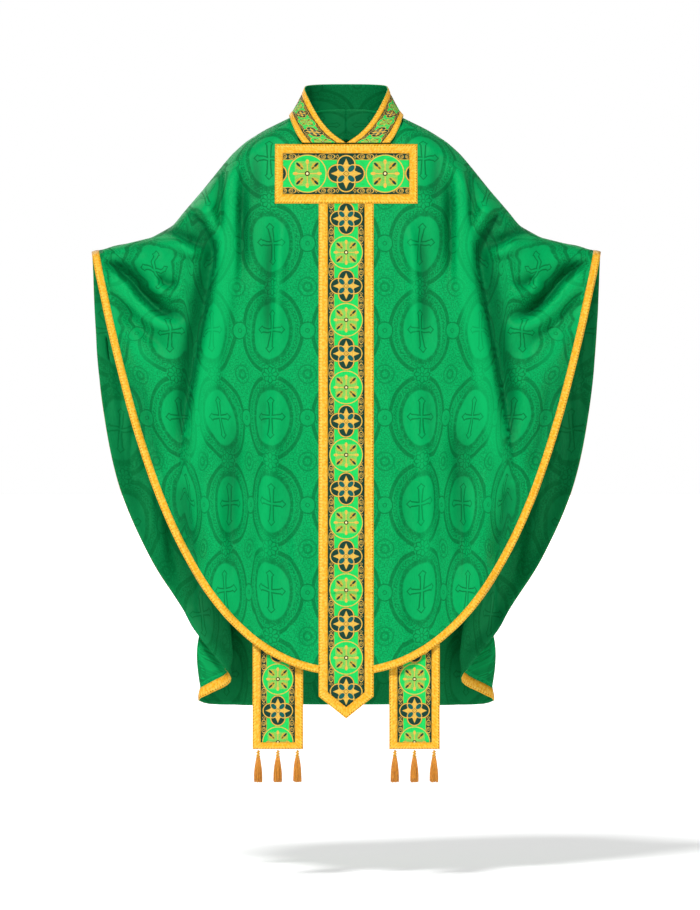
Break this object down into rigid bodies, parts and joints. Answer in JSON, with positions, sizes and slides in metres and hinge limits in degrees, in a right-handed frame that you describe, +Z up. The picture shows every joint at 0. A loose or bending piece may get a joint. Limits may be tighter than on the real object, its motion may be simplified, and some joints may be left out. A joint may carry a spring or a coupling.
{
  "type": "chasuble",
  "caption": "Gothic chasuble in green damask with standing shawl collar, T-shaped orphrey and gold galloon, hanging open over its matching tasselled stole.",
  "frame": {"origin": "centre of the wearer's neck at the height where the shoulders meet it", "axes": "+Z up, +X towards the wearer's left hand, the front of the garment faces -Y"},
  "size_m": [1.077, 0.3451, 1.4736],
  "materials": {
    "damask": "tone-on-tone woven silk-like damask",
    "lining": "smooth satin lining",
    "orphrey": "woven band with gold and dark figures",
    "galloon": "woven metallic-thread braid",
    "tassel": "twisted rayon threads"
  },
  "bodies": {
    "shoulders": {"back_column_band_upper": "orphrey", "back_column_galloon_upper_left": "galloon", "back_column_galloon_upper_right": "galloon", "back_crossbar_band": "orphrey", "back_crossbar_galloon": "galloon", "back_yoke": "damask", "back_yoke_lining": "lining", "collar_band_left": "orphrey", "collar_band_right": "orphrey", "collar_base_galloon": "galloon", "collar_neck_galloon": "galloon", "collar_stand": "damask", "front_column_band_upper": "orphrey", "front_column_galloon_upper_left": "galloon", "front_column_galloon_upper_right": "galloon", "front_crossbar_band": "orphrey", "front_crossbar_galloon": "galloon", "front_yoke": "damask", "front_yoke_lining": "lining", "stole_orphrey_upper_left": "orphrey", "stole_orphrey_upper_right": "orphrey", "stole_strap_left": "lining", "stole_strap_right": "lining", "wrist_galloon_left": "galloon", "wrist_galloon_right": "galloon"},
    "front_hanging": {"front_column_band_lower": "orphrey", "front_column_galloon_lower_left": "galloon", "front_column_galloon_lower_right": "galloon", "front_hem_galloon_left": "galloon", "front_hem_galloon_right": "galloon", "front_skirt": "damask", "front_skirt_lining": "lining"},
    "back_hanging": {"back_column_band_lower": "orphrey", "back_column_galloon_lower_left": "galloon", "back_column_galloon_lower_right": "galloon", "back_hem_galloon_left": "galloon", "back_hem_galloon_right": "galloon", "back_skirt": "damask", "back_skirt_lining": "lining"},
    "front_point": {"front_point_band": "orphrey", "front_point_galloon": "galloon", "front_point_lining": "lining"},
    "stole_end_right": {"stole_end_band_right": "orphrey", "stole_end_galloon_right": "galloon", "stole_end_right": "lining"},
    "tassel_right_1": {"tassel_right_1_knot": "tassel", "tassel_right_1_skirt": "tassel"},
    "tassel_right_2": {"tassel_right_2_knot": "tassel", "tassel_right_2_skirt": "tassel"},
    "tassel_right_3": {"tassel_right_3_knot": "tassel", "tassel_right_3_skirt": "tassel"},
    "stole_end_left": {"stole_end_band_left": "orphrey", "stole_end_galloon_left": "galloon", "stole_end_left": "lining"},
    "tassel_left_1": {"tassel_left_1_knot": "tassel", "tassel_left_1_skirt": "tassel"},
    "tassel_left_2": {"tassel_left_2_knot": "tassel", "tassel_left_2_skirt": "tassel"},
    "tassel_left_3": {"tassel_left_3_knot": "tassel", "tassel_left_3_skirt": "tassel"}
  },
  "joints": [
    {"name": "front_swing", "type": "hinge", "parent": "shoulders", "child": "front_hanging", "pos_m": [0, -0.1525, -0.363], "axis": [-1, 0, 0], "range_deg": [0, 35]},
    {"name": "back_swing", "type": "hinge", "parent": "shoulders", "child": "back_hanging", "pos_m": [0, 0.1565, -0.363], "axis": [1, 0, 0], "range_deg": [0, 35]},
    {"name": "point_flap", "type": "hinge", "parent": "front_hanging", "child": "front_point", "pos_m": [0, -0.1678, -1.172], "axis": [-1, 0, 0], "range_deg": [-20, 70]},
    {"name": "stole_right_swing", "type": "hinge", "parent": "shoulders", "child": "stole_end_right", "pos_m": [-0.143, -0.153, -1.172], "axis": [-1, 0, 0], "range_deg": [-20, 50]},
    {"name": "tassel_right_1_swing", "type": "hinge", "parent": "stole_end_right", "child": "tassel_right_1", "pos_m": [-0.184, -0.152, -1.3265], "axis": [-1, 0, 0], "range_deg": [-50, 50]},
    {"name": "tassel_right_2_swing", "type": "hinge", "parent": "stole_end_right", "child": "tassel_right_2", "pos_m": [-0.143, -0.152, -1.3265], "axis": [-1, 0, 0], "range_deg": [-50, 50]},
    {"name": "tassel_right_3_swing", "type": "hinge", "parent": "stole_end_right", "child": "tassel_right_3", "pos_m": [-0.102, -0.152, -1.3265], "axis": [-1, 0, 0], "range_deg": [-50, 50]},
    {"name": "stole_left_swing", "type": "hinge", "parent": "shoulders", "child": "stole_end_left", "pos_m": [0.143, -0.153, -1.172], "axis": [-1, 0, 0], "range_deg": [-20, 50]},
    {"name": "tassel_left_1_swing", "type": "hinge", "parent": "stole_end_left", "child": "tassel_left_1", "pos_m": [0.102, -0.152, -1.3265], "axis": [-1, 0, 0], "range_deg": [-50, 50]},
    {"name": "tassel_left_2_swing", "type": "hinge", "parent": "stole_end_left", "child": "tassel_left_2", "pos_m": [0.143, -0.152, -1.3265], "axis": [-1, 0, 0], "range_deg": [-50, 50]},
    {"name": "tassel_left_3_swing", "type": "hinge", "parent": "stole_end_left", "child": "tassel_left_3", "pos_m": [0.184, -0.152, -1.3265], "axis": [-1, 0, 0], "range_deg": [-50, 50]}
  ]
}
